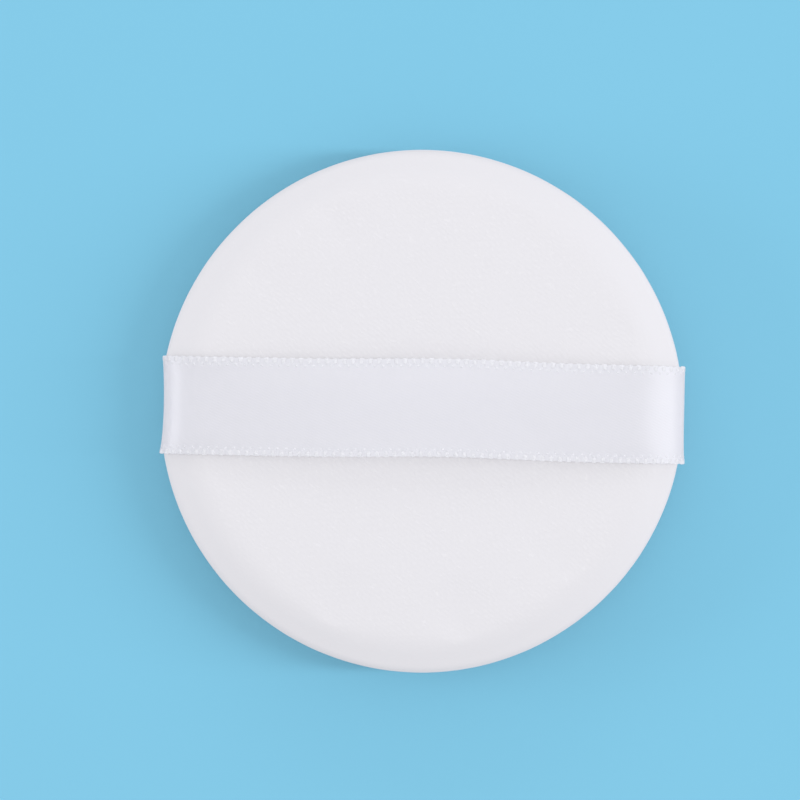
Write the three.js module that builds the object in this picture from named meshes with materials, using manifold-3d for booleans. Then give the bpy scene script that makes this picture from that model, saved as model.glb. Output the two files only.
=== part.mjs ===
// Powder puff: two skins sewn together over a foam core, with a satin ribbon as a finger band.
// Millimetres, +Z up. The contact face rests on z = 0, and the band runs along X over the crown.
import * as THREE from 'three';
import { mergeVertices } from 'three/addons/utils/BufferGeometryUtils.js';
import Module from 'manifold-3d';

// Driving dimensions of the cushion
const puffRadius = 27; // at its widest, just above and just below the seam
const crownHeight = 9; // middle of the back above the contact face
const crownFall = 0.45; // from the middle of the back to the start of its shoulder
const shoulderWidth = 5; // radial width of the rounded edge of the back
const baseEdgeWidth = 6; // radial width of the rounded edge of the contact face
const seamHeight = 4.4; // the plane in which the two skins are sewn together
const seamDraw = 0.5; // how far the stitching draws the side in
const bulgeOffset = 1.2; // from the seam up or down to the widest line

// Driving dimensions of the layers
const coverWall = 0.6;
const skinWall = 0.8;
const hemWidth = 3.2; // edge of each skin that is turned in at the seam
const layerGap = 0.3; // room between soft layers that lie on each other

// Driving dimensions of the finger band
const ribbonWidth = 10;
const ribbonThickness = 0.3;
const fingerGap = 1.6; // under the middle of the band at rest
const bandPull = 0.5; // how far the band draws the rim in where it is sewn
const foldRadius = 0.3; // inner radius where the ribbon turns up out of the seam
const spanHalfLength = 20; // half of the free stretch, which fingers lift

// Driving dimensions of the stitching
const stitchPairs = 20; // each pair is one stitch above the hems and one below
const stitchInset = 1.4; // from the seam's edge to the line of stitches
const threadRadius = 0.15;
const threadGap = 0.2; // room round the thread in its needle holes and on the hems
const threadBend = 0.4; // radius of the thread's turn into a needle hole

// Facets
const roundSegments = 40;
const crownSteps = 2;
const edgeSteps = 5;
const grooveSteps = 2;
const foldSteps = 3;
const archSteps = 2; // on each side, from the shoulder to the free stretch
const spanSteps = 16;
const threadSides = 5;
const bendSteps = 2;
const holeSides = 4;
const mergeTolerance = 1e-4;

// Sizes that follow from them
const shoulderStart = puffRadius - shoulderWidth;
const shoulderTop = crownHeight - crownFall;
const contactRadius = puffRadius - baseEdgeWidth;
const upperBulge = seamHeight + bulgeOffset;
const lowerBulge = seamHeight - bulgeOffset;
const seamRadius = puffRadius - seamDraw;
const hemRadius = seamRadius - hemWidth;
const coverHemTop = seamHeight + coverWall;
const skinHemBottom = seamHeight - skinWall;
const tabTop = seamHeight + ribbonThickness / 2;
const tabBottom = seamHeight - ribbonThickness / 2;
const stitchRadius = seamRadius - stitchInset;
const stitchTop = coverHemTop + threadGap + threadRadius;
const stitchBottom = skinHemBottom - threadGap - threadRadius;
const stitchCount = 2 * stitchPairs;
const pulledRim = puffRadius - bandPull;
const farOut = 2 * puffRadius; // well outside the puff, for cutters

const wasm = await Module();
wasm.setup();

// A solid for joining and cutting, from a closed geometry
function solidFrom(geometry) {
  const bare = geometry.clone();
  bare.deleteAttribute('normal');
  bare.deleteAttribute('uv');
  const merged = mergeVertices(bare, mergeTolerance);
  const corners = [];
  for (let i = 0; i < merged.index.count; i += 3) {
    const [a, b, c] = [0, 1, 2].map((k) => merged.index.getX(i + k));
    if (a !== b && b !== c && c !== a) corners.push(a, b, c);
  }
  const vertProperties = new Float32Array(merged.attributes.position.array);
  const triVerts = new Uint32Array(corners);
  return new wasm.Manifold(new wasm.Mesh({ numProp: 3, vertProperties, triVerts }));
}

function geometryFrom(solid) {
  const { vertProperties, triVerts } = solid.getMesh();
  const geometry = new THREE.BufferGeometry();
  geometry.setAttribute('position', new THREE.BufferAttribute(vertProperties, 3));
  geometry.setIndex(new THREE.BufferAttribute(triVerts, 1));
  geometry.computeVertexNormals();
  return geometry;
}

// Evenly spread numbers, both ends included
function spread(from, to, steps) {
  return Array.from({ length: steps + 1 }, (_, i) => from + ((to - from) * i) / steps);
}

// A point in the half plane (radius, height)
function point(r, z) {
  return new THREE.Vector2(r, z);
}

// Points of an elliptical arc in that plane, angles in degrees
function arc(centre, reachR, reachZ, from, to, steps) {
  return spread(from, to, steps).map((degrees) => {
    const angle = THREE.MathUtils.degToRad(degrees);
    return point(centre.x + reachR * Math.cos(angle), centre.y + reachZ * Math.sin(angle));
  });
}

// The back from its middle to its widest line, at a depth under the outer face
function backLine(depth) {
  const crown = Array.from({ length: crownSteps }, (_, i) => {
    const share = i / crownSteps;
    return point(shoulderStart * share, crownHeight - crownFall * share ** 2 - depth);
  });
  const centre = point(shoulderStart, upperBulge);
  const rise = shoulderTop - upperBulge;
  return [...crown, ...arc(centre, shoulderWidth - depth, rise - depth, 90, 0, edgeSteps)];
}

// The under side from its widest line to its middle, at a depth inside the outer face
function baseLine(depth) {
  const centre = point(contactRadius, lowerBulge);
  const edge = arc(centre, baseEdgeWidth - depth, lowerBulge - depth, 0, -90, edgeSteps);
  return [...edge, point(0, depth)];
}

// A body of revolution about Z from a line of points that runs down its outside
function revolve(line) {
  return new THREE.LatheGeometry([...line].reverse(), roundSegments).rotateX(Math.PI / 2);
}

// The sewn band draws the rounded edge in at both ends, to a flat as wide as the ribbon
function drawInAtBand(geometry) {
  const position = geometry.attributes.position;
  for (let i = 0; i < position.count; i++) {
    const x = position.getX(i);
    const radius = Math.hypot(x, position.getY(i));
    if (radius <= shoulderStart) continue;
    const pull = Math.max(0, (puffRadius * Math.abs(x)) / radius - pulledRim);
    const share = (radius - shoulderStart) / shoulderWidth;
    position.setX(i, x - Math.sign(x) * pull * share);
  }
  return geometry;
}

// One needle hole through the hems for each stitch, on the same circle in every layer
function pierce(solid) {
  const holeRadius = threadRadius + threadGap;
  const holeLength = stitchTop - stitchBottom;
  const holeMiddle = (stitchTop + stitchBottom) / 2;
  let pierced = solid;
  for (let i = 0; i < stitchCount; i++) {
    const hole = new THREE.CylinderGeometry(holeRadius, holeRadius, holeLength, holeSides);
    hole.rotateX(Math.PI / 2).translate(stitchRadius, 0, holeMiddle);
    hole.rotateZ((2 * Math.PI * i) / stitchCount);
    pierced = pierced.subtract(solidFrom(hole));
  }
  return pierced;
}

// The hems close round the ribbon's tabs in two shallow pockets
function pocket(solid) {
  const room = new THREE.BoxGeometry(farOut, ribbonWidth + 2 * layerGap, ribbonThickness);
  const right = solidFrom(room.clone().translate(hemRadius - hemWidth + farOut / 2, 0, seamHeight));
  const left = solidFrom(room.clone().translate(hemWidth - hemRadius - farOut / 2, 0, seamHeight));
  return solid.subtract(right).subtract(left);
}

function sewnSkin(line) {
  return geometryFrom(pierce(pocket(solidFrom(drawInAtBand(revolve(line))))));
}

// Back cover: crowned cloth with a round shoulder, drawn in at the seam, its hem turned inward
function backCover() {
  const groove = arc(point(seamRadius, upperBulge), seamDraw, bulgeOffset, 0, -90, grooveSteps);
  return sewnSkin([
    ...backLine(0),
    ...groove.slice(1),
    point(hemRadius, seamHeight),
    point(hemRadius, coverHemTop),
    point(seamRadius - coverWall, coverHemTop),
    ...backLine(coverWall).reverse(),
  ]);
}

// Contact skin: flat underneath, with a round edge and its hem turned inward under the cover's
function contactSkin() {
  const groove = arc(point(seamRadius, lowerBulge), seamDraw, bulgeOffset, 90, 0, grooveSteps);
  return sewnSkin([
    ...baseLine(skinWall).reverse(),
    point(seamRadius - skinWall, skinHemBottom),
    point(hemRadius, skinHemBottom),
    point(hemRadius, seamHeight),
    ...groove.slice(0, -1),
    ...baseLine(0),
  ]);
}

// Foam core: fills both skins, with a slot all round for the hems and their stitches
function foamCore() {
  const filling = revolve([...backLine(coverWall + layerGap), ...baseLine(skinWall + layerGap)]);
  const slotTop = stitchTop + threadRadius + layerGap;
  const slotBottom = stitchBottom - threadRadius - layerGap;
  const slotRadius = hemRadius - layerGap;
  const slot = revolve([
    point(slotRadius, slotTop),
    point(farOut, slotTop),
    point(farOut, slotBottom),
    point(slotRadius, slotBottom),
    point(slotRadius, slotTop),
  ]);
  return geometryFrom(solidFrom(drawInAtBand(filling)).subtract(solidFrom(slot)));
}

// The line of a running stitch: along the hems, then with a round turn through the next needle hole
function stitchLine() {
  const turns = spread(0, Math.PI / 2, bendSteps);
  const line = [];
  for (let i = 0; i < stitchCount; i++) {
    const [entry, exit] = i % 2 ? [stitchBottom, stitchTop] : [stitchTop, stitchBottom];
    const drop = Math.sign(exit - entry) * threadBend;
    const intoHole = turns.map((a) => [threadBend * (Math.sin(a) - 1), entry + drop * (1 - Math.cos(a))]);
    const outOfHole = turns.map((a) => [threadBend * (1 - Math.cos(a)), exit - drop * (1 - Math.sin(a))]);
    for (const [along, z] of [...intoHole, ...outOfHole]) {
      const angle = (2 * Math.PI * i) / stitchCount + along / stitchRadius;
      line.push(new THREE.Vector3(stitchRadius * Math.cos(angle), stitchRadius * Math.sin(angle), z));
    }
  }
  return line;
}

// Seam thread: one closed tube that passes through every needle hole
function seamThread() {
  const line = stitchLine();
  const positions = [];
  const corners = [];
  line.forEach((centre, i) => {
    const following = (i + 1) % line.length;
    const ahead = line[following];
    const behind = line.at(i - 1);
    const outward = new THREE.Vector3(centre.x, centre.y, 0).normalize();
    const across = new THREE.Vector3().subVectors(ahead, behind).cross(outward).normalize();
    for (let k = 0; k < threadSides; k++) {
      const angle = (2 * Math.PI * k) / threadSides;
      const corner = centre.clone();
      corner.addScaledVector(outward, threadRadius * Math.cos(angle));
      corner.addScaledVector(across, threadRadius * Math.sin(angle));
      positions.push(...corner.toArray());
      const [here, there] = [i * threadSides, following * threadSides];
      const side = (k + 1) % threadSides;
      corners.push(here + k, here + side, there + k, there + k, here + side, there + side);
    }
  });
  const tube = new THREE.BufferGeometry();
  tube.setAttribute('position', new THREE.Float32BufferAttribute(positions, 3));
  tube.setIndex(corners);
  tube.computeVertexNormals();
  return tube;
}

// The band lies on the drawn-in shoulder, at the layers' gap
const bandReachX = pulledRim - shoulderStart + layerGap;
const bandReachZ = shoulderTop - upperBulge + layerGap;
const bandTop = crownHeight + fingerGap; // lower face in the middle

// It leaves the shoulder at the angle whose tangent meets the parabola through the middle of the band
function leavingAngle() {
  let low = 0;
  let high = Math.PI / 2;
  for (let i = 0; i < 50; i++) {
    const angle = (low + high) / 2;
    const slope = bandReachZ / bandReachX / Math.tan(angle);
    const x = shoulderStart + bandReachX * Math.cos(angle);
    const height = upperBulge + bandReachZ * Math.sin(angle) + (slope * x) / 2;
    if (height > bandTop) low = angle;
    else high = angle;
  }
  return high;
}
const leaveAngle = leavingAngle();
const leaveX = shoulderStart + bandReachX * Math.cos(leaveAngle);
const leaveZ = upperBulge + bandReachZ * Math.sin(leaveAngle);
const archDrop = (bandTop - leaveZ) / leaveX ** 2;

// A station holds the ribbon's inner and outer face; on the arch the cut is upright
function archStation(x) {
  const inner = point(x, bandTop - archDrop * x ** 2);
  const upright = ribbonThickness * Math.hypot(1, 2 * archDrop * x);
  return { inner, outer: point(x, inner.y + upright) };
}

function roundStations(centre, reachX, reachZ, from, to, steps) {
  const inside = arc(centre, reachX, reachZ, from, to, steps);
  const outside = arc(centre, reachX + ribbonThickness, reachZ + ribbonThickness, from, to, steps);
  return inside.map((inner, i) => ({ inner, outer: outside[i] }));
}

// A length of ribbon along the stations, as wide as the ribbon and centred on the X axis
function ribbonAlong(stations) {
  const outline = new THREE.Shape([
    ...stations.map((s) => s.inner),
    ...stations.map((s) => s.outer).reverse(),
  ]);
  const strip = new THREE.ExtrudeGeometry(outline, { depth: ribbonWidth, bevelEnabled: false });
  return strip.rotateX(Math.PI / 2).translate(0, ribbonWidth / 2, 0);
}

// One end of the band: a tab between the hems, a fold out of the seam, then up over the shoulder
function bandEnd(turn) {
  const foldCentre = point(pulledRim + layerGap - foldRadius, tabTop + foldRadius);
  const shoulderCentre = point(shoulderStart, upperBulge);
  const leaveDegrees = THREE.MathUtils.radToDeg(leaveAngle);
  const tab = { inner: point(hemRadius, tabTop), outer: point(hemRadius, tabBottom) };
  const end = ribbonAlong([
    tab,
    ...roundStations(foldCentre, foldRadius, foldRadius, -90, 0, foldSteps),
    ...roundStations(shoulderCentre, bandReachX, bandReachZ, 0, leaveDegrees, edgeSteps),
    ...spread(leaveX, spanHalfLength, archSteps).slice(1).map(archStation),
  ]);
  return geometryFrom(pierce(solidFrom(end.rotateZ(turn))));
}

// The free stretch of the band, which fingers slip under
function bandSpan() {
  return ribbonAlong(spread(spanHalfLength, -spanHalfLength, spanSteps).map(archStation));
}

function cloth(color, roughness) {
  return new THREE.MeshStandardMaterial({ color, roughness, metalness: 0 });
}

const puff = new THREE.Group();

function addPiece(name, geometry, material) {
  const mesh = new THREE.Mesh(geometry, material);
  mesh.name = name;
  puff.add(mesh);
}

addPiece('back_cover', backCover(), cloth(0xebeaef, 0.9));
addPiece('contact_skin', contactSkin(), cloth(0xf0ece8, 0.6));
addPiece('foam_core', foamCore(), cloth(0xf4f1e6, 1));
addPiece('seam_thread', seamThread(), cloth(0xf2f2f4, 0.7));
addPiece('band_span', bandSpan(), cloth(0xe5e6ee, 0.4));
addPiece('band_end_right', bandEnd(0), cloth(0xe5e6ee, 0.4));
addPiece('band_end_left', bandEnd(Math.PI), cloth(0xe5e6ee, 0.4));

export default puff;
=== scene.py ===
"""Looks of a round powder puff: twill cover, smooth contact skin, foam, seam thread and satin finger band.

Each soft solid of the frame is replaced here by a finer piece in the same place. Lengths are in metres,
Z is up, the band runs along X, and the puff rests on its contact face at Z = 0.
"""
import math

import bmesh
import bpy
import numpy as np
from mathutils import Matrix, Vector, noise


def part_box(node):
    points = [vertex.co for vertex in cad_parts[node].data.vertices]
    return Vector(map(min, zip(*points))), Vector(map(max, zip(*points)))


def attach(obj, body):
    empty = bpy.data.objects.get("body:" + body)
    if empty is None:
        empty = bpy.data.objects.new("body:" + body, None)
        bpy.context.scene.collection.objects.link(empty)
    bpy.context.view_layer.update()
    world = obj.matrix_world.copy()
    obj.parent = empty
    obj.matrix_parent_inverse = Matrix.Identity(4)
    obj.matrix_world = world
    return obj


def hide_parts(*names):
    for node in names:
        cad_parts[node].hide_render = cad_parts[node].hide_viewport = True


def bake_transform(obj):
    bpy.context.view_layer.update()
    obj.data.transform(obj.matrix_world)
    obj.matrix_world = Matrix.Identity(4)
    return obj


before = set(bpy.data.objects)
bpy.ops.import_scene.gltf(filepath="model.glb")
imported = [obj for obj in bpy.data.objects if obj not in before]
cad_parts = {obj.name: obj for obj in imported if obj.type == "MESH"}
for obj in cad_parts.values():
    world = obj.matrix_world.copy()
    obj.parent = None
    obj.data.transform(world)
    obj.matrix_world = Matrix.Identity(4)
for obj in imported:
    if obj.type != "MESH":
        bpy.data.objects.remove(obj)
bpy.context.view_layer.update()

MM = 0.001
TINY = 1e-9

# Sizes that the solids give
cover_low, cover_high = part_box("back_cover")
span_low, span_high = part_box("band_span")
end_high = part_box("band_end_right")[1]
thread_low, thread_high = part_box("seam_thread")
PUFF_RADIUS = cover_high[1]
CROWN_HEIGHT = cover_high[2]
SEAM_HEIGHT = cover_low[2]
RIBBON_WIDTH = span_high[1] - span_low[1]
RIBBON_REACH = end_high[0]
SPAN_HALF = span_high[0]
SPAN_TOP = span_high[2]
STITCH_TOP = thread_high[2]
STITCH_BOTTOM = thread_low[2]

# Form of the puff
CROWN_FALL = 0.45 * MM
SHOULDER_WIDTH = 5 * MM
SHOULDER_BEND = 6.4 * MM
EDGE_ROUND = 1.5 * MM
BASE_EDGE_WIDTH = 6 * MM
BULGE_OFFSET = 1.2 * MM
SEAM_DRAW = 0.5 * MM
COVER_WALL = 0.6 * MM
SKIN_WALL = 0.8 * MM
LAYER_GAP = 0.3 * MM
HEM_WIDTH = 3.2 * MM
HEM_ROUND = 0.25 * MM
SEGMENTS = 480
FOAM_SEGMENTS = 160

SHOULDER_START = PUFF_RADIUS - SHOULDER_WIDTH
SHOULDER_TOP = CROWN_HEIGHT - CROWN_FALL
UPPER_BULGE = SEAM_HEIGHT + BULGE_OFFSET
LOWER_BULGE = SEAM_HEIGHT - BULGE_OFFSET
SEAM_RADIUS = PUFF_RADIUS - SEAM_DRAW
HEM_RADIUS = SEAM_RADIUS - HEM_WIDTH
CONTACT_RADIUS = PUFF_RADIUS - BASE_EDGE_WIDTH

# Slow swellings of the back
SWELL_HEIGHT = 0.05 * MM
SWELL_LENGTH = 9 * MM
SWELL_SEED = 5.0

# Gathers along the seam, strongest a little off it, and none under the band
COVER_GATHER = 0.09 * MM
SKIN_GATHER = 0.06 * MM
GATHER_START = 0.02 * MM
GATHER_PEAK = 0.3 * MM
GATHER_SPREAD = 0.7 * MM
GATHER_RATE = 11
GATHER_RATE_UP = 0.12 / MM
GATHER_SEED = 3.0
FINE_GATHER_RATE = 2.1
FINE_GATHER_SHARE = 0.5
FINE_GATHER_SEED = 8.0
GATHER_FREE = 5 * MM
GATHER_FREE_FADE = 2 * MM

# How the cover settles over the foam, at a size that suits the solver
SETTLE_SEGMENTS = 96
SETTLE_SCALE = 10
SETTLE_STEPS = 16
SETTLE_MOST = 0.4 * MM
FOAM_PRESSURE = 0.22
HELD_MARGIN = 1 * MM
HELD_RINGS = 8

# The running stitch
STITCH_PAIRS = 20
STITCH_INSET = 1.4 * MM
STITCH_STEEPNESS = 3.5
STEPS_PER_PAIR = 32
STRAND_RADIUS = 0.09 * MM
STRAND_TURNS = 240
STRAND_SIDES = 6

# The sewn-in ribbon
RIBBON_THICKNESS = 0.26 * MM
RIBBON_ROOM = 0.25 * MM
RIBBON_INSET = 0.02 * MM
RIBBON_COLUMNS = 33
ARCH_POINTS = 90
FOLD_RADIUS = 0.3 * MM
FOLD_FIRM = 1 * MM
FOLD_FIRM_FADE = 2.5 * MM
BAND_STEP = 0.15 * MM
BAND_EASE = 1.6 * MM
POCKET_MARGIN = 0.3 * MM
POCKET_CLEARANCE = 0.05 * MM
HEM_TOLERANCE = 0.05 * MM

# How the ribbon lies, and how it draws the rim in
BAND_PULL = 0.5 * MM
PULL_HALF_WIDTH = 5.2 * MM
SKIN_PULL_HALF_WIDTH = 9 * MM
LEFT_PULL = 0.45 * MM
LEFT_PULL_HALF_WIDTH = 7.5 * MM
CORNER_FLARE = 0.12 * MM
BEND_MOST = 1.1
BAND_SHIFT = 0.13 * MM
BOW = 0.28 * MM
BOW_PLACE = 2.5 * MM
BOW_LENGTH = 9 * MM
RIBBON_CROWN = 0.08 * MM
RIBBON_CROWN_FADE = 8 * MM

# Looped selvedges: a loop's root is in shares of its length and rise, its taper in shares of its size
SELVEDGE_PITCH = 0.89 * MM
SELVEDGE_START = 3 * MM
LOOP_LENGTH = 0.62 * MM
LOOP_HALF_WIDTH = 0.28 * MM
LOOP_HALF_HEIGHT = 0.065 * MM
LOOP_SINK = 0.5 * LOOP_HALF_HEIGHT
LOOP_ROOT = np.array([(-1, 0.35), (-0.85, 0.85), (-0.6, 1)])
LOOP_UNDER_SHARE = 0.5
LOOP_TAPER = (0.45, 0.85)
LOOP_TURN_POINTS = 9
KNOT_INSET = 0.74 * MM
KNOT_RADIUS = 0.26 * MM
KNOT_RISE = 0.04 * MM
KNOT_NARROW = 0.8
KNOT_END = 80
KNOT_RINGS = 7
YARN_SIDES = 10

# Weave of the cloths, places in mm and rates in threads per mm
WEAVE_MAP = "weave"
WARP_RATE = (1.51, 0.40, 0)
WEFT_RATE = (-0.12, 1.51, 0)
TWILL_RATE = tuple(warp + weft for warp, weft in zip(WARP_RATE, WEFT_RATE))
FLECK_LEAN = math.radians(36)
FLECK_STRETCH = (1.5, 3.0, 1.0)
WEAVE_FADE_START = 22.0
WEAVE_FADE_END = 25.0
WEAVE_AT_RIM = 0.3
FLOAT_RATE = (1.35, 3.34, 0)
BINDING_RATE = (1.62, -0.45, 0)
SLUB_STRETCH = (0.12, 2.0, 1.0)

# Surfaces: heights of fine relief, the two colours that a shade runs between, and light through satin
COVER_RELIEF = 0.012 * MM
SATIN_RELIEF = 0.0045 * MM
YARN_RELIEF = 0.01 * MM
SKIN_RELIEF = 0.02 * MM
FOAM_RELIEF = 0.15 * MM
COVER_COLOURS = ((0.812, 0.798, 0.79), (0.873, 0.859, 0.848))
SATIN_COLOURS = ((0.975, 0.975, 1.0), (0.995, 0.995, 1.0))
THREAD_COLOURS = ((0.80, 0.80, 0.82), (0.90, 0.90, 0.92))
SELVEDGE_COLOURS = ((0.84, 0.84, 0.85), (0.90, 0.90, 0.90))
SKIN_COLOURS = ((0.80, 0.765, 0.73), (0.875, 0.85, 0.82))
# Foam colours: the cell walls, then the inside of the cells, which is darker as painted shade.
FOAM_COLOURS = ((0.90, 0.87, 0.78), (0.80, 0.76, 0.64))
SATIN_THROUGH = 0.42
MAIN_SHADER = "Principled BSDF"

# The photograph's view from straight above
IMAGE_PIXELS = 800
PIXELS_PER_METRE = 9678
PUFF_OFF_CENTRE = (21.7, -11.2)
BAND_SLOPE = math.radians(1.18)
CAMERA_HEIGHT = 0.45
CAMERA_CLIP = 0.01
SENSOR = 36.0

# Stage: the camera sees the floor's own colour, and the light that the floor sends back is greyer
FLOOR_HALF = 3.0
FLOOR_COLOUR = (0.238, 0.606, 0.78, 1)
FLOOR_BOUNCE = (0.54, 0.59, 0.66, 1)
BACKDROP_COLOUR = (0.4, 0.68, 0.86, 1)
LIGHT_COLOUR = (0.985, 0.99, 1.05)
WORLD_STRENGTH = 0.742


def ellipse(centre, reach, start, stop, steps):
    """Points of an elliptical arc in the half plane (radius, height), angles in degrees."""
    angle = np.radians(np.linspace(start, stop, steps + 1))
    return np.column_stack((centre[0] + reach[0] * np.cos(angle), centre[1] + reach[1] * np.sin(angle)))


def line(start, stop, steps):
    """Points on a straight line, both ends included."""
    return np.linspace(start, stop, steps + 1)


def lengths_along(path):
    """Length of a plane path from its start to each of its points."""
    return np.concatenate(([0], np.cumsum(np.hypot(*np.diff(path, axis=0).T))))


def directions(path):
    """Unit directions along a plane path, and the normals to the left of them."""
    along = np.gradient(path, axis=0)
    along /= np.hypot(along[:, 0], along[:, 1])[:, None]
    return along, np.column_stack((-along[:, 1], along[:, 0]))


def smooth_step(value):
    """0 below 0, 1 above 1, and smooth between them."""
    share = np.clip(value, 0, 1)
    return share * share * (3 - 2 * share)


def noise_at(places, seed):
    """Smooth noise from about -1 to 1 at each place."""
    shift = Vector((seed, 2.3 * seed, -1.7 * seed))
    return np.array([noise.noise(Vector(place) + shift) for place in places])


def mesh_piece(name, points, faces, material, places=None):
    """A smooth mesh object. places gives each point a place in the cloth, in mm, for its weave."""
    mesh = bpy.data.meshes.new(name)
    mesh.from_pydata([tuple(p) for p in points], [], faces)
    if places is not None:
        corner_points = np.empty(len(mesh.loops), dtype=np.int64)
        mesh.loops.foreach_get("vertex_index", corner_points)
        layer = mesh.uv_layers.new(name=WEAVE_MAP)
        layer.data.foreach_set("uv", np.asarray(places)[corner_points].astype(np.float32).ravel())
    mesh.polygons.foreach_set("use_smooth", [True] * len(mesh.polygons))
    mesh.materials.append(material)
    piece = bpy.data.objects.new(name, mesh)
    bpy.context.scene.collection.objects.link(piece)
    return piece


def face_outwards(piece):
    """Turns the faces of each closed shell outwards."""
    shells = bmesh.new()
    shells.from_mesh(piece.data)
    bmesh.ops.recalc_face_normals(shells, faces=shells.faces)
    shells.to_mesh(piece.data)
    shells.free()


def lathe(section, segments):
    """Points, faces and cloth places of a body of revolution. Its section starts and ends on the axis."""
    angle = np.linspace(0, 2 * math.pi, segments, endpoint=False)
    around = np.column_stack((np.cos(angle), np.sin(angle)))
    reach = lengths_along(section)
    points = [(0, 0, section[0][1])]
    places = [(0, 0)]
    for (radius, height), distance in zip(section[1:-1], reach[1:-1]):
        points.extend((radius * c, radius * s, height) for c, s in around)
        places.extend((distance * c / MM, distance * s / MM) for c, s in around)
    points.append((0, 0, section[-1][1]))
    places.append((0, 0))

    faces = []
    rings = len(section) - 2
    last = len(points) - 1
    for k in range(segments):
        after = (k + 1) % segments
        faces.append((0, 1 + k, 1 + after))
        for i in range(rings - 1):
            here = 1 + i * segments
            below = here + segments
            faces.append((here + k, below + k, below + after, here + after))
        foot = 1 + (rings - 1) * segments
        faces.append((foot + k, last, foot + after))
    return np.array(points), faces, np.array(places)


# Nodes of the materials


def node(tree, kind, settings=None, inputs=None):
    """Adds a node. An input is a value, or the output of another node that it is joined to."""
    made = tree.nodes.new(kind)
    for key, value in (settings or {}).items():
        setattr(made, key, value)
    for key, value in (inputs or {}).items():
        if isinstance(value, bpy.types.NodeSocket):
            tree.links.new(value, made.inputs[key])
        else:
            made.inputs[key].default_value = value
    return made


def calc(tree, operation, first, second=0.0):
    """The output of one step of arithmetic."""
    return node(tree, "ShaderNodeMath", {"operation": operation}, {0: first, 1: second}).outputs[0]


def vector_calc(tree, operation, inputs):
    """A node for one step of arithmetic with vectors."""
    return node(tree, "ShaderNodeVectorMath", {"operation": operation}, inputs)


def scaled(tree, value, factor, offset):
    """The output of value * factor + offset."""
    inputs = {0: value, 1: factor, 2: offset}
    return node(tree, "ShaderNodeMath", {"operation": "MULTIPLY_ADD"}, inputs).outputs[0]


def total(tree, parts):
    """The sum of several outputs, each times its own share."""
    result = None
    for output, share in parts:
        part = calc(tree, "MULTIPLY", output, share)
        result = part if result is None else calc(tree, "ADD", result, part)
    return result


def faded(tree, value, low, high, start=0.0, stop=1.0):
    """start where the value is below low, stop where it is above high, and smooth between them."""
    inputs = {"Value": value, "From Min": low, "From Max": high, "To Min": start, "To Max": stop}
    return node(tree, "ShaderNodeMapRange", {"interpolation_type": "SMOOTHSTEP"}, inputs).outputs["Result"]


def ridges(tree, place, rate):
    """Threads as cosine ridges from -1 to 1. rate is their number per unit of place along each axis."""
    turn = [2 * math.pi * r for r in rate]
    dot = vector_calc(tree, "DOT_PRODUCT", {0: place, 1: turn})
    return calc(tree, "COSINE", dot.outputs["Value"])


def blotches(tree, place, scale, detail=2.0, rough=0.5):
    """Noise from about -1 to 1."""
    inputs = {"Vector": place, "Scale": scale, "Detail": detail, "Roughness": rough}
    cloud = node(tree, "ShaderNodeTexNoise", None, inputs)
    return scaled(tree, cloud.outputs["Fac"], 2.0, -1.0)


def cells(tree, place, scale):
    """Distance from the middle of the nearest of many cells."""
    return node(tree, "ShaderNodeTexVoronoi", None, {"Vector": place, "Scale": scale}).outputs["Distance"]


def weave_place(tree):
    """The place in the cloth, in mm."""
    return node(tree, "ShaderNodeUVMap", {"uv_map": WEAVE_MAP}).outputs["UV"]


def object_place(tree):
    """The place in the piece, in metres."""
    return node(tree, "ShaderNodeTexCoord").outputs["Object"]


def tinted(tree, shade, colours):
    """A colour between two others, for a shade from -1 to 1."""
    inputs = {"Value": shade, "From Min": -1.0, "From Max": 1.0}
    share = node(tree, "ShaderNodeMapRange", None, inputs).outputs["Result"]
    mix = node(tree, "ShaderNodeMix", {"data_type": "RGBA"}, {"Factor": share})
    for key, colour in zip("AB", colours):
        mix.inputs[key].default_value = (*colour, 1)
    return mix.outputs["Result"]


def bumped(tree, height, distance):
    """A surface normal from a height of -1 to 1 times a distance in metres."""
    inputs = {"Height": height, "Distance": distance, "Strength": 1.0}
    return node(tree, "ShaderNodeBump", None, inputs).outputs["Normal"]


def seen_by_camera(tree):
    """1 for what the camera sees, and 0 for what only lights other things."""
    return node(tree, "ShaderNodeLightPath").outputs["Is Camera Ray"]


def mixed_shader(tree, share, first, second):
    """A mix of two shaders, with a share of the second."""
    inputs = {0: share, 1: first.outputs[0], 2: second.outputs[0]}
    return node(tree, "ShaderNodeMixShader", None, inputs).outputs[0]


def new_material(name, **values):
    """A material and its nodes, with constant values set on its main shader."""
    material = bpy.data.materials.new(name)
    material.use_nodes = True
    tree = material.node_tree
    for key, value in values.items():
        tree.nodes[MAIN_SHADER].inputs[key.replace("_", " ")].default_value = value
    return material, tree


def join_to_shader(tree, **outputs):
    """Joins the outputs of other nodes to the inputs of the main shader."""
    for key, output in outputs.items():
        tree.links.new(output, tree.nodes[MAIN_SHADER].inputs[key.replace("_", " ")])


def let_light_through(tree, colour, share):
    """Lets a share of the light pass through each face of thin cloth, spread out and tinted."""
    through = node(tree, "ShaderNodeBsdfTranslucent", None, {"Color": colour})
    mix = mixed_shader(tree, share, tree.nodes[MAIN_SHADER], through)
    tree.links.new(mix, tree.nodes["Material Output"].inputs["Surface"])


# Materials


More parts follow.
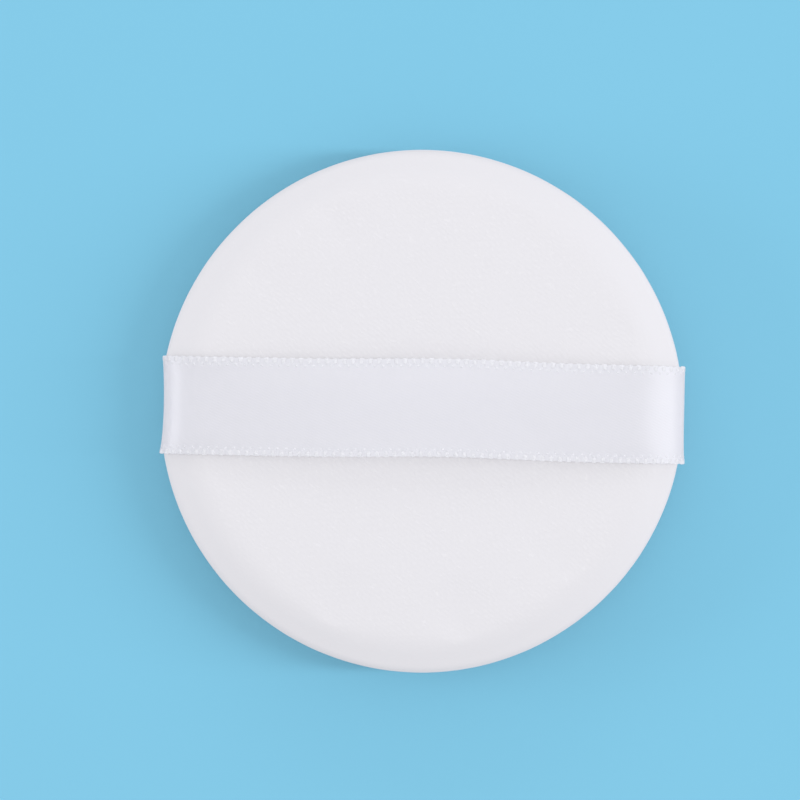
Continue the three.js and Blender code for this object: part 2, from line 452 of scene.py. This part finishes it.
def twill_cloth():
    """Fine white twill, matt, with a short nap. Its weave fades towards the rim."""
    material, tree = new_material(
        "cover_cloth", Roughness=0.92, Specular_IOR_Level=0.2, Sheen_Weight=0.35, Sheen_Roughness=0.4
    )
    flat = weave_place(tree)
    from_middle = vector_calc(tree, "LENGTH", {0: flat}).outputs["Value"]
    loose = faded(tree, from_middle, WEAVE_FADE_START, WEAVE_FADE_END, start=1.0, stop=WEAVE_AT_RIM)
    wander = node(tree, "ShaderNodeTexNoise", None, {"Vector": flat, "Scale": 0.5, "Detail": 3.0})
    drift = vector_calc(tree, "SCALE", {0: wander.outputs["Color"], "Scale": 0.9})
    place = vector_calc(tree, "ADD", {0: flat, 1: drift.outputs["Vector"]}).outputs["Vector"]

    threads = [(ridges(tree, place, rate), 0.55) for rate in (WARP_RATE, WEFT_RATE)]
    weave = total(tree, [*threads, (ridges(tree, place, TWILL_RATE), 0.8)])
    patches = scaled(tree, blotches(tree, place, scale=0.3), factor=1.1, offset=0.55)
    weave = calc(tree, "MULTIPLY", weave, patches)
    fluff = blotches(tree, place, scale=2.6, detail=3.0, rough=0.65)

    about_z = {"rotation_type": "Z_AXIS"}
    leaning = node(tree, "ShaderNodeVectorRotate", about_z, {"Vector": place, "Angle": FLECK_LEAN})
    drawn = vector_calc(tree, "MULTIPLY", {0: leaning.outputs["Vector"], 1: FLECK_STRETCH})
    spots = blotches(tree, drawn.outputs["Vector"], scale=1.0, detail=1.0)
    flecks = faded(tree, spots, low=0.22, high=0.6)

    surface = total(tree, [(weave, 0.4), (fluff, 0.6), (flecks, 0.8)])
    # The weave's share in the shade darkens the hollows between threads: painted shade. Fluff and flecks
    # are the cloth's own tone.
    shade = total(tree, [(weave, 0.2), (fluff, 0.5), (flecks, 0.9)])
    surface = calc(tree, "MULTIPLY", surface, loose)
    shade = calc(tree, "MULTIPLY", shade, loose)
    colour = tinted(tree, shade, COVER_COLOURS)
    join_to_shader(tree, Base_Color=colour, Normal=bumped(tree, surface, COVER_RELIEF))
    return material


def satin():
    """White satin: long floats along the ribbon that shine, and let some light through."""
    material, tree = new_material(
        "satin_ribbon",
        Roughness=0.38,
        Anisotropic=0.5,
        Anisotropic_Rotation=0.25,
        IOR=1.85,
        Sheen_Weight=0.15,
        Sheen_Roughness=0.35,
    )
    place = weave_place(tree)
    floats = ridges(tree, place, FLOAT_RATE)
    binding = ridges(tree, place, BINDING_RATE)
    dashes = calc(tree, "MULTIPLY", floats, scaled(tree, binding, factor=0.4, offset=0.6))
    streaks = vector_calc(tree, "MULTIPLY", {0: place, 1: SLUB_STRETCH})
    slub = blotches(tree, streaks.outputs["Vector"], scale=1.0, detail=3.0, rough=0.6)
    surface = total(tree, [(dashes, 0.8), (slub, 0.5)])
    # The dashes' small share in the shade darkens the colour between the floats: painted shade. The slubs
    # are the yarn's own tone.
    shade = total(tree, [(dashes, 0.06), (slub, 0.6)])
    colour = tinted(tree, shade, SATIN_COLOURS)
    tangent = node(tree, "ShaderNodeTangent", {"direction_type": "UV_MAP", "uv_map": WEAVE_MAP})
    join_to_shader(
        tree,
        Base_Color=colour,
        Normal=bumped(tree, surface, SATIN_RELIEF),
        Tangent=tangent.outputs["Tangent"],
    )
    let_light_through(tree, colour, SATIN_THROUGH)
    return material


def yarn(name, colours):
    """Bright twisted yarn, with light spreading inside it."""
    material, tree = new_material(
        name, Roughness=0.6, Subsurface_Weight=1.0, Subsurface_Radius=(1, 1, 1), Subsurface_Scale=0.3 * MM
    )
    fibres = blotches(tree, object_place(tree), scale=9000, detail=3.0, rough=0.6)
    colour = tinted(tree, fibres, colours)
    join_to_shader(tree, Base_Color=colour, Normal=bumped(tree, fibres, YARN_RELIEF))
    return material


def porous_skin():
    """Smooth off-white skin with fine pores."""
    material, tree = new_material("contact_skin", Roughness=0.62, Sheen_Weight=0.08)
    place = object_place(tree)
    pores = faded(tree, cells(tree, place, scale=3600), low=0.12, high=0.5, start=-1.0)
    grain = blotches(tree, place, scale=900, detail=4.0, rough=0.6)
    clouds = blotches(tree, place, scale=110)
    surface = total(tree, [(pores, 0.6), (grain, 0.6)])
    # The pores' share in the shade makes them darker: painted shade in the pores. Grain and clouds are the
    # skin's own tone.
    shade = total(tree, [(pores, 0.25), (grain, 0.35), (clouds, 0.5)])
    colour = tinted(tree, shade, SKIN_COLOURS)
    join_to_shader(tree, Base_Color=colour, Normal=bumped(tree, surface, SKIN_RELIEF))
    return material


def open_foam():
    """Cream foam with open cells, its colour darker inside them as painted shade."""
    material, tree = new_material("foam", Roughness=0.95)
    # The colour darkens towards the middle of each cell: painted shade inside the open cells.
    depth = scaled(tree, cells(tree, object_place(tree), scale=2200), factor=-2.0, offset=1.0)
    colour = tinted(tree, depth, FOAM_COLOURS)
    join_to_shader(tree, Base_Color=colour, Normal=bumped(tree, depth, FOAM_RELIEF))
    return material


# Cushion


def shoulder(depth, steps):
    """Edge of the back at a depth below its outer face: a bend off the crown, a slope and a round edge."""
    lean = math.atan(2 * CROWN_FALL / SHOULDER_START)
    bend_radius = SHOULDER_START - SHOULDER_BEND * math.sin(lean)
    bend = (bend_radius, SHOULDER_TOP - SHOULDER_BEND * math.cos(lean))
    edge = (PUFF_RADIUS - EDGE_ROUND, UPPER_BULGE)
    rise = math.atan2(edge[1] - bend[1], edge[0] - bend[0])
    slope = math.asin((SHOULDER_BEND - EDGE_ROUND) / math.dist(bend, edge)) - rise
    start, stop = 90 - math.degrees(lean), 90 - math.degrees(slope)
    upper = ellipse(bend, (SHOULDER_BEND - depth, SHOULDER_BEND - depth), start, stop, steps)
    lower = ellipse(edge, (EDGE_ROUND - depth, EDGE_ROUND - depth), stop, 0, steps)
    return np.vstack((upper, line(upper[-1], lower[0], steps)[1:-1], lower))


def back_line(depth, crown_steps, edge_steps):
    """Section of the back from the axis to its widest line, at a depth below the outer face."""
    radius = np.linspace(0, SHOULDER_START, crown_steps, endpoint=False)
    height = CROWN_HEIGHT - CROWN_FALL * (radius / SHOULDER_START) ** 2 - depth
    return np.vstack((np.column_stack((radius, height)), shoulder(depth, edge_steps)))


def base_line(depth, edge_steps, flat_steps):
    """Section of the under side from its widest line to the axis, at a depth inside the outer face."""
    reach = (BASE_EDGE_WIDTH - depth, LOWER_BULGE - depth)
    edge = ellipse((CONTACT_RADIUS, LOWER_BULGE), reach, 0, -90, edge_steps)
    flat = line((CONTACT_RADIUS, depth), (0, depth), flat_steps)
    return np.vstack((edge, flat[1:]))


def seam_lip(side, groove_steps=16, lip_steps=5):
    """From the widest line into the seam and round the hem's edge. side: 1 for cover, -1 for skin."""
    bulge = SEAM_HEIGHT + side * BULGE_OFFSET
    groove_depth = BULGE_OFFSET - HEM_ROUND
    groove = ellipse((SEAM_RADIUS, bulge), (SEAM_DRAW, -side * groove_depth), 0, 90, groove_steps)
    lip_centre = (SEAM_RADIUS - HEM_ROUND, SEAM_HEIGHT + side * HEM_ROUND)
    lip = ellipse(lip_centre, (HEM_ROUND, -side * HEM_ROUND), 0, 90, lip_steps)
    return np.vstack((groove[1:], lip[1:]))


def draw_in(points, half_width):
    """Draws the rim in where the band is sewn into it, more on the left, and not at the contact face."""
    x, y, z = points.T
    near_rim = np.clip((np.hypot(x, y) - SHOULDER_START) / SHOULDER_WIDTH, 0, 1)
    share = near_rim * smooth_step(z / LOWER_BULGE)
    dip = np.clip(1 - (y / half_width) ** 2, 0, 1) ** 2
    pull = np.where(x > 0, BAND_PULL, BAND_PULL + LEFT_PULL) * dip * share
    points[:, 0] = x - np.sign(x) * pull


def tab_pocket(points, side):
    """Makes room between the hems for the ribbon's tabs."""
    near = np.abs(points[:, 1]) < RIBBON_WIDTH / 2 + POCKET_MARGIN
    hem = np.abs(points[:, 2] - SEAM_HEIGHT) < HEM_TOLERANCE
    points[near & hem, 2] += side * (RIBBON_THICKNESS / 2 + POCKET_CLEARANCE)


def pucker(points, side, amount):
    """Small gathers that the stitches leave along the seam."""
    radius = np.hypot(points[:, 0], points[:, 1])
    off_seam = side * (points[:, 2] - SEAM_HEIGHT)
    outer = (radius > SHOULDER_START) & (off_seam > GATHER_START)
    fade = np.exp(-(((off_seam - GATHER_PEAK) / GATHER_SPREAD) ** 2)) * outer
    around = points[:, :2] / np.maximum(radius, TINY)[:, None]
    places = np.column_stack((around * GATHER_RATE, off_seam * GATHER_RATE_UP))
    gather = noise_at(places, GATHER_SEED + side)
    gather += FINE_GATHER_SHARE * noise_at(places * FINE_GATHER_RATE, FINE_GATHER_SEED)
    off_band = smooth_step((np.abs(points[:, 1]) - GATHER_FREE) / GATHER_FREE_FADE)
    clear = np.clip(off_band + (np.abs(points[:, 0]) < SHOULDER_START), 0, 1)
    move = amount * gather * fade * clear
    points[:, 0] += move * around[:, 0]
    points[:, 1] += move * around[:, 1]


def soften(points):
    """Slow hollows and swellings of the padded back."""
    top = smooth_step((points[:, 2] - UPPER_BULGE) / (SHOULDER_TOP - UPPER_BULGE))
    points[:, 2] += SWELL_HEIGHT * top * noise_at(points / SWELL_LENGTH, SWELL_SEED)


def settle(points, faces, held):
    """How far padded cloth moves when the foam presses it out. Held points stay in place."""
    scene = bpy.context.scene
    mesh = bpy.data.meshes.new("settling")
    mesh.from_pydata([tuple(SETTLE_SCALE * p) for p in points], [], faces)
    cloth = bpy.data.objects.new("settling", mesh)
    scene.collection.objects.link(cloth)
    group = cloth.vertex_groups.new(name="held")
    group.add([int(index) for index in np.flatnonzero(held)], 1.0, "REPLACE")
    modifier = cloth.modifiers.new("settling", "CLOTH")
    modifier.collision_settings.use_self_collision = False
    settings = modifier.settings
    settings.quality = 5
    settings.mass = 0.01
    settings.tension_stiffness = 60
    settings.compression_stiffness = 60
    settings.shear_stiffness = 20
    settings.bending_stiffness = 2
    settings.effector_weights.gravity = 0
    settings.vertex_group_mass = "held"
    settings.use_pressure = True
    settings.uniform_pressure_force = FOAM_PRESSURE
    for step in range(1, SETTLE_STEPS + 1):
        scene.frame_set(step)
    settled = cloth.evaluated_get(bpy.context.evaluated_depsgraph_get())
    places = np.empty(3 * len(points))
    settled.data.vertices.foreach_get("co", places)
    scene.frame_set(1)
    bpy.data.objects.remove(cloth)
    move = places.reshape(-1, 3) / SETTLE_SCALE - points
    length = np.linalg.norm(move, axis=1)
    return move * np.minimum(1, SETTLE_MOST / np.maximum(length, TINY))[:, None]


def turned(moves, segments, way):
    """Moves of whole rings, each turned about Z by its place in the ring. way: 1 out of it, -1 into it."""
    angle = way * np.linspace(0, 2 * math.pi, segments, endpoint=False)
    c, s = np.cos(angle), np.sin(angle)
    x, y, z = np.moveaxis(moves, -1, 0)
    return np.stack((c * x - s * y, s * x + c * y, z), axis=-1)


def sewn_form(points):
    """The form that the cover is sewn to, before it settles."""
    soften(points)
    pucker(points, 1, COVER_GATHER)
    draw_in(points, PULL_HALF_WIDTH)


def back_cover(material):
    """The crowned cover with its hem turned in at the seam, swollen by the foam between its seams."""
    hem_top = SEAM_HEIGHT + COVER_WALL
    outside = np.vstack((back_line(0, crown_steps=44, edge_steps=11), seam_lip(1)))
    hem = [(HEM_RADIUS, SEAM_HEIGHT), (HEM_RADIUS, hem_top), (SEAM_RADIUS - COVER_WALL, hem_top)]
    inside = back_line(COVER_WALL, crown_steps=10, edge_steps=4)[::-1]
    section = np.vstack((outside, hem, inside))

    few, faces, _ = lathe(section, SETTLE_SEGMENTS)
    sewn_form(few)
    near_band = np.abs(few[:, 1]) < RIBBON_WIDTH / 2 + HELD_MARGIN
    held = near_band & (np.abs(few[:, 0]) > SHOULDER_START)
    held[1 + (len(outside) - HELD_RINGS) * SETTLE_SEGMENTS :] = True
    moves = settle(few, faces, held)
    rings = turned(moves[1:-1].reshape(-1, SETTLE_SEGMENTS, 3), SETTLE_SEGMENTS, -1)
    rings = np.fft.irfft(np.fft.rfft(rings, axis=1), SEGMENTS, axis=1) * SEGMENTS / SETTLE_SEGMENTS

    points, faces, places = lathe(section, SEGMENTS)
    sewn_form(points)
    points[0] += moves[0]
    points[1:-1] += turned(rings, SEGMENTS, 1).reshape(-1, 3)
    tab_pocket(points, 1)
    return mesh_piece("puff_cover", points, faces, material, places)


def contact_face(material):
    """The smooth skin under the foam, flat where it rests."""
    hem_bottom = SEAM_HEIGHT - SKIN_WALL
    inside = base_line(SKIN_WALL, edge_steps=10, flat_steps=8)[::-1]
    hem = [(SEAM_RADIUS - SKIN_WALL, hem_bottom), (HEM_RADIUS, hem_bottom), (HEM_RADIUS, SEAM_HEIGHT)]
    outside = np.vstack((seam_lip(-1)[::-1], base_line(0, edge_steps=30, flat_steps=30)))
    points, faces, places = lathe(np.vstack((inside, hem, outside)), SEGMENTS)
    pucker(points, -1, SKIN_GATHER)
    draw_in(points, SKIN_PULL_HALF_WIDTH)
    tab_pocket(points, -1)
    return mesh_piece("puff_contact_face", points, faces, material, places)


def foam_pad(material):
    """The foam inside, with a slot all round for the hems."""
    slot_radius = HEM_RADIUS - LAYER_GAP
    slot_top = STITCH_TOP + LAYER_GAP
    slot_bottom = STITCH_BOTTOM - LAYER_GAP
    upper = back_line(COVER_WALL + LAYER_GAP, crown_steps=12, edge_steps=6)
    lower = base_line(SKIN_WALL + LAYER_GAP, edge_steps=16, flat_steps=12)
    upper = upper[upper[:, 1] > slot_top]
    lower = lower[lower[:, 1] < slot_bottom]
    slot = [
        (upper[-1, 0], slot_top),
        (slot_radius, slot_top),
        (slot_radius, slot_bottom),
        (lower[0, 0], slot_bottom),
    ]
    points, faces, _ = lathe(np.vstack((upper, slot, lower)), FOAM_SEGMENTS)
    draw_in(points, SKIN_PULL_HALF_WIDTH)
    return mesh_piece("puff_foam", points, faces, material)


def seam_stitches(material):
    """A running stitch of two twisted strands, through both hems all the way round."""
    steps = STEPS_PER_PAIR * STITCH_PAIRS
    radius = SEAM_RADIUS - STITCH_INSET
    middle = (STITCH_TOP + STITCH_BOTTOM) / 2
    swing = (STITCH_TOP - STITCH_BOTTOM) / 2 - 2 * STRAND_RADIUS
    points = []
    faces = []
    for phase in (0, math.pi):
        first = len(points)
        for i in range(steps):
            angle = 2 * math.pi * i / steps
            wave = math.tanh(STITCH_STEEPNESS * math.cos(STITCH_PAIRS * angle))
            wave /= math.tanh(STITCH_STEEPNESS)
            turn = STRAND_TURNS * angle + phase
            centre_r = radius + STRAND_RADIUS * math.cos(turn)
            centre_z = middle + swing * wave + STRAND_RADIUS * math.sin(turn)
            for k in range(STRAND_SIDES):
                side = 2 * math.pi * k / STRAND_SIDES
                r = centre_r + STRAND_RADIUS * math.cos(side)
                z = centre_z + STRAND_RADIUS * math.sin(side)
                points.append((r * math.cos(angle), r * math.sin(angle), z))
        for i in range(steps):
            here = first + i * STRAND_SIDES
            there = first + (i + 1) % steps * STRAND_SIDES
            for k in range(STRAND_SIDES):
                after = (k + 1) % STRAND_SIDES
                faces.append((here + k, there + k, there + after, here + after))
    piece = mesh_piece("puff_seam_thread", points, faces, material)
    face_outwards(piece)
    return piece


# Finger band


def eased(path):
    """The path at even steps, with its bends spread over a length, apart from its last stretch."""
    reach = lengths_along(path)
    even = np.linspace(0, reach[-1], int(reach[-1] / BAND_STEP))
    path = np.column_stack([np.interp(even, reach, path[:, c]) for c in (0, 1)])
    free = smooth_step((reach[-1] - even - FOLD_FIRM) / FOLD_FIRM_FADE)[1:-1, None]
    for _ in range(int(2 * (BAND_EASE / BAND_STEP) ** 2)):
        path[1:-1] += free * (path[:-2] - 2 * path[1:-1] + path[2:]) / 4
    return path


def band_half():
    """Lower face of the band from its middle to the inner end of its right-hand tab, in X and Z."""
    rim = RIBBON_REACH - RIBBON_ROOM
    top = SPAN_TOP - RIBBON_ROOM - RIBBON_THICKNESS
    reach = (rim - SHOULDER_START, SHOULDER_TOP - UPPER_BULGE + LAYER_GAP)
    edge = ellipse((SHOULDER_START, UPPER_BULGE), reach, start=90, stop=0, steps=300)
    slope = -np.gradient(edge[:, 1]) / np.gradient(edge[:, 0])
    leave = np.argmax(edge[:, 1] + slope * edge[:, 0] / 2 > top)
    leave_x, leave_z = edge[leave]
    x = np.linspace(0, leave_x, ARCH_POINTS)
    arch = np.column_stack((x, top - (top - leave_z) * (x / leave_x) ** 2))
    tab_top = SEAM_HEIGHT + RIBBON_THICKNESS / 2
    fold_centre = (rim - FOLD_RADIUS, tab_top + FOLD_RADIUS)
    fold = ellipse(fold_centre, (FOLD_RADIUS, FOLD_RADIUS), start=0, stop=-90, steps=12)
    tab = line(fold[-1], (HEM_RADIUS, tab_top), steps=10)
    return np.vstack((eased(np.vstack((arch, edge[leave + 1 :]))), fold, tab[1:]))


def band_path():
    """Middle of the ribbon's thickness from tab to tab: points, directions, outward normals and lengths."""
    half = band_half()
    mirrored = half[:0:-1] * (-1, 1)
    lower = np.vstack((mirrored, half))
    along, outward = directions(lower)
    middle = lower + outward * RIBBON_THICKNESS / 2
    return middle, along, outward, lengths_along(middle)


def settle_band(points):
    """How the ribbon lies: a little bowed and crowned, drawn in at the left, its front corners flared."""
    x, y = points[:, 0].copy(), points[:, 1].copy()
    share = np.clip((np.abs(x) - SHOULDER_START) / SHOULDER_WIDTH, 0, BEND_MOST)
    dip = 1 - (y / LEFT_PULL_HALF_WIDTH) ** 2
    edge = (y / (RIBBON_WIDTH / 2)) ** 2
    flare = CORNER_FLARE * share * np.clip(-2 * y / RIBBON_WIDTH, 0, BEND_MOST) ** 3
    points[:, 0] += np.sign(x) * flare
    left = x < 0
    points[left, 0] += (LEFT_PULL * dip * share)[left]
    points[:, 1] += BAND_SHIFT + BOW * np.exp(-(((x - BOW_PLACE) / BOW_LENGTH) ** 2))
    points[:, 2] += RIBBON_CROWN * (1 - edge) * smooth_step((SPAN_HALF - np.abs(x)) / RIBBON_CROWN_FADE)


def ribbon(material):
    """The satin ribbon's outer face as one sheet from tab to tab, and its length."""
    middle, _, outward, length = band_path()
    half_width = RIBBON_WIDTH / 2 - RIBBON_INSET
    columns = np.linspace(-half_width, half_width, RIBBON_COLUMNS)
    points = []
    places = []
    for (x, z), reach in zip(middle + outward * RIBBON_THICKNESS / 2, length):
        points.extend((x, y, z) for y in columns)
        places.extend((reach / MM, y / MM) for y in columns)
    faces = []
    for i in range(len(middle) - 1):
        for a in range(i * RIBBON_COLUMNS, (i + 1) * RIBBON_COLUMNS - 1):
            faces.append((a, a + RIBBON_COLUMNS, a + RIBBON_COLUMNS + 1, a + 1))
    points = np.array(points)
    settle_band(points)
    return mesh_piece("band_ribbon", points, faces, material, places), length[-1]


def loop_form():
    """One weft loop round the ribbon's edge: rings of (along, across, outward) offsets from the edge."""
    rise = RIBBON_THICKNESS / 2 - LOOP_SINK
    turn = np.radians(np.linspace(90, -90, LOOP_TURN_POINTS))
    bend = np.column_stack((rise * np.cos(turn) - rise, rise * np.sin(turn)))
    root = LOOP_ROOT * (LOOP_LENGTH, rise)
    path = np.vstack((root, bend, root[:0:-1] * (LOOP_UNDER_SHARE, -1)))
    _, normal = directions(path)
    taper = np.ones(len(path))
    for place, size in enumerate(LOOP_TAPER):
        taper[[place, -1 - place]] = size
    rings = []
    for (across, outward), (n_across, n_out), size in zip(path, normal, taper):
        ring = []
        for a in np.linspace(0, 2 * math.pi, YARN_SIDES, endpoint=False):
            wide = size * LOOP_HALF_WIDTH * math.cos(a)
            high = size * LOOP_HALF_HEIGHT * math.sin(a)
            ring.append((wide, across + n_across * high, outward + n_out * high))
        rings.append(ring)
    return np.array(rings)


def knot_form():
    """One small knot where the loop's yarn dives into the satin, on both faces of the ribbon."""
    rings = []
    for height in np.radians(np.linspace(-KNOT_END, KNOT_END, KNOT_RINGS)):
        flat = KNOT_RADIUS * math.cos(height)
        thick = (RIBBON_THICKNESS / 2 + KNOT_RISE) * math.sin(height)
        ring = []
        for a in np.linspace(0, 2 * math.pi, YARN_SIDES, endpoint=False):
            ring.append((flat * math.cos(a), -KNOT_INSET + KNOT_NARROW * flat * math.sin(a), thick))
        rings.append(ring)
    return np.array(rings)


def stamped(form, points, faces):
    """Adds one closed tube, whose rings are already placed, to the points and faces."""
    rings, sides = form.shape[:2]
    first = len(points)
    points.extend(form.reshape(-1, 3))
    for i in range(rings - 1):
        here = first + i * sides
        there = here + sides
        for k in range(sides):
            after = (k + 1) % sides
            faces.append((here + k, here + after, there + after, there + k))
    faces.append(tuple(range(first, first + sides)))
    faces.append(tuple(range(first + (rings - 1) * sides, first + rings * sides)))


def selvedge(material):
    """Looped selvedges: yarn that turns round both long edges at each pick, with knots between."""
    middle, along, outward, length = band_path()
    edge = RIBBON_WIDTH / 2
    points = []
    faces = []
    picks = int((length[-1] - 2 * SELVEDGE_START) / SELVEDGE_PITCH)
    for side in (1, -1):
        for form, shift in ((loop_form(), 0.0), (knot_form(), 0.5)):
            for pick in range(picks):
                reach = SELVEDGE_START + (pick + shift) * SELVEDGE_PITCH
                x, z = (np.interp(reach, length, middle[:, c]) for c in (0, 1))
                tx, tz = (np.interp(reach, length, along[:, c]) for c in (0, 1))
                nx, nz = (np.interp(reach, length, outward[:, c]) for c in (0, 1))
                placed = np.empty_like(form)
                placed[..., 0] = x + tx * form[..., 0] + nx * form[..., 2]
                placed[..., 1] = side * (edge + form[..., 1])
                placed[..., 2] = z + tz * form[..., 0] + nz * form[..., 2]
                stamped(placed, points, faces)
    points = np.array(points)
    settle_band(points)
    piece = mesh_piece("band_selvedge", points, faces, material)
    face_outwards(piece)
    return piece


def lift_with_band(piece):
    """Folds the left half of a piece onto the right one along X, sets its transform into the points, then
    puts the points back.
    """
    mesh = piece.data
    true_places = np.empty(3 * len(mesh.vertices))
    mesh.vertices.foreach_get("co", true_places)
    folded = true_places.copy()
    folded[0::3] = np.abs(folded[0::3])
    mesh.vertices.foreach_set("co", folded)
    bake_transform(piece)
    mesh.vertices.foreach_set("co", true_places)
    mesh.update()


# Stage


def studio_floor():
    """A plain pale blue floor."""
    mesh = bpy.data.meshes.new("floor")
    corners = [(FLOOR_HALF * x, FLOOR_HALF * y, 0) for x, y in ((-1, -1), (1, -1), (1, 1), (-1, 1))]
    mesh.from_pydata(corners, [], [(0, 1, 2, 3)])
    material, tree = new_material("floor", Roughness=0.85, Specular_IOR_Level=0.1)
    mix = node(tree, "ShaderNodeMix", {"data_type": "RGBA"}, {"Factor": seen_by_camera(tree)})
    mix.inputs["A"].default_value = FLOOR_BOUNCE
    mix.inputs["B"].default_value = FLOOR_COLOUR
    join_to_shader(tree, Base_Color=mix.outputs["Result"])
    mesh.materials.append(material)
    floor = bpy.data.objects.new("floor", mesh)
    bpy.context.scene.collection.objects.link(floor)


def soft_light(name, azimuth, elevation, distance, width, height, power):
    """A soft light aimed at the puff, angles in degrees, azimuth from +X towards +Y."""
    a, e = math.radians(azimuth), math.radians(elevation)
    away = Vector((math.cos(a) * math.cos(e), math.sin(a) * math.cos(e), math.sin(e)))
    lamp = bpy.data.lights.new(name, "AREA")
    lamp.shape = "RECTANGLE"
    lamp.size = width
    lamp.size_y = height
    lamp.energy = power
    lamp.color = LIGHT_COLOUR
    holder = bpy.data.objects.new(name, lamp)
    holder.location = away * distance
    holder.rotation_mode = "QUATERNION"
    holder.rotation_quaternion = away.to_track_quat("Z", "Y")
    bpy.context.scene.collection.objects.link(holder)


def surroundings():
    """Even light from all round; what the camera sees of it is pale blue like the floor."""
    world = bpy.data.worlds.new("studio")
    world.use_nodes = True
    tree = world.node_tree
    light = tree.nodes["Background"]
    light.inputs["Color"].default_value = (*LIGHT_COLOUR, 1)
    light.inputs["Strength"].default_value = WORLD_STRENGTH
    backdrop = node(tree, "ShaderNodeBackground", None, {"Color": BACKDROP_COLOUR, "Strength": 1.0})
    mix = mixed_shader(tree, seen_by_camera(tree), light, backdrop)
    tree.links.new(mix, tree.nodes["World Output"].inputs["Surface"])
    bpy.context.scene.world = world


def overhead_camera():
    """The photograph's camera: straight above, turned so that the band falls a little to the right."""
    right = Vector((math.cos(BAND_SLOPE), math.sin(BAND_SLOPE), 0))
    up = Vector((-math.sin(BAND_SLOPE), math.cos(BAND_SLOPE), 0))
    off_x, off_y = (pixels / PIXELS_PER_METRE for pixels in PUFF_OFF_CENTRE)
    data = bpy.data.cameras.new("camera")
    data.sensor_width = SENSOR
    data.lens = SENSOR * PIXELS_PER_METRE * (CAMERA_HEIGHT - UPPER_BULGE) / IMAGE_PIXELS
    data.clip_start = CAMERA_CLIP
    camera = bpy.data.objects.new("camera", data)
    place = -right * off_x - up * off_y + Vector((0, 0, CAMERA_HEIGHT))
    turn = Matrix((right, up, Vector((0, 0, 1)))).transposed().to_4x4()
    camera.matrix_world = Matrix.Translation(place) @ turn
    bpy.context.scene.collection.objects.link(camera)
    bpy.context.scene.camera = camera


overhead_camera()
surroundings()
studio_floor()
soft_light("key", azimuth=0.5, elevation=35, distance=1.2, width=0.12, height=1.0, power=4.6)
soft_light("back", azimuth=95, elevation=20, distance=1.0, width=1.0, height=0.3, power=1.2)
soft_light("fill", azimuth=180, elevation=17, distance=0.8, width=0.4, height=0.26, power=1.2)

cover = back_cover(twill_cloth())
skin = contact_face(porous_skin())
foam = foam_pad(open_foam())
thread = seam_stitches(yarn("thread", THREAD_COLOURS))
band, ribbon_length = ribbon(satin())
loops = selvedge(yarn("selvedge_yarn", SELVEDGE_COLOURS))

for piece, node_name, slot_name, fill in (
    (cover, "back_cover", "cover_cloth", 0.9),
    (skin, "contact_skin", "contact_skin", 0.9),
    (foam, "foam_core", "foam", 1.0),
    (thread, "seam_thread", "thread", None),
):
    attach(piece, "pad")
    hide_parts(node_name)

for piece in (band, loops):
    lift_with_band(piece)
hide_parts("band_span", "band_end_left", "band_end_right")

bpy.context.scene.view_settings.view_transform = "Standard"
